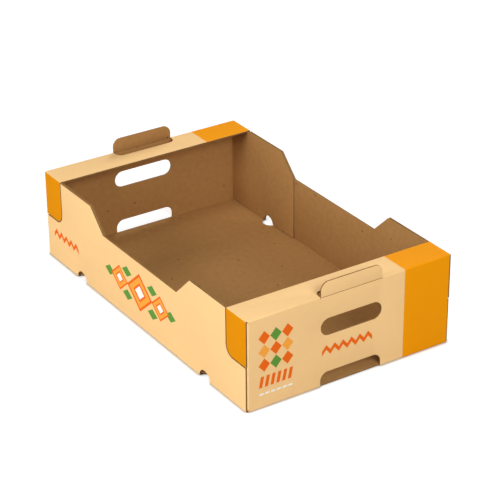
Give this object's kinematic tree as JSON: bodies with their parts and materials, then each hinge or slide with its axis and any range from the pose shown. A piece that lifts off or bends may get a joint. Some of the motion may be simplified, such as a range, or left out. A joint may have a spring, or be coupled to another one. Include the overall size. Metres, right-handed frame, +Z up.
{
  "type": "cardboard tray box",
  "caption": "Open tray of corrugated board, folded and glued from a single sheet, with end ledges, stacking tabs, hand holes, foot cut-outs and dipped long sides.",
  "frame": {"origin": "middle of the tray's underside, on the surface it stands on", "axes": "+X along the length towards the end with the larger flap corners, +Y across the width, +Z up"},
  "size_m": [0.49, 0.3, 0.142],
  "materials": {
    "board": "matte"
  },
  "bodies": {
    "root": {"tray": "board"}
  },
  "joints": []
}
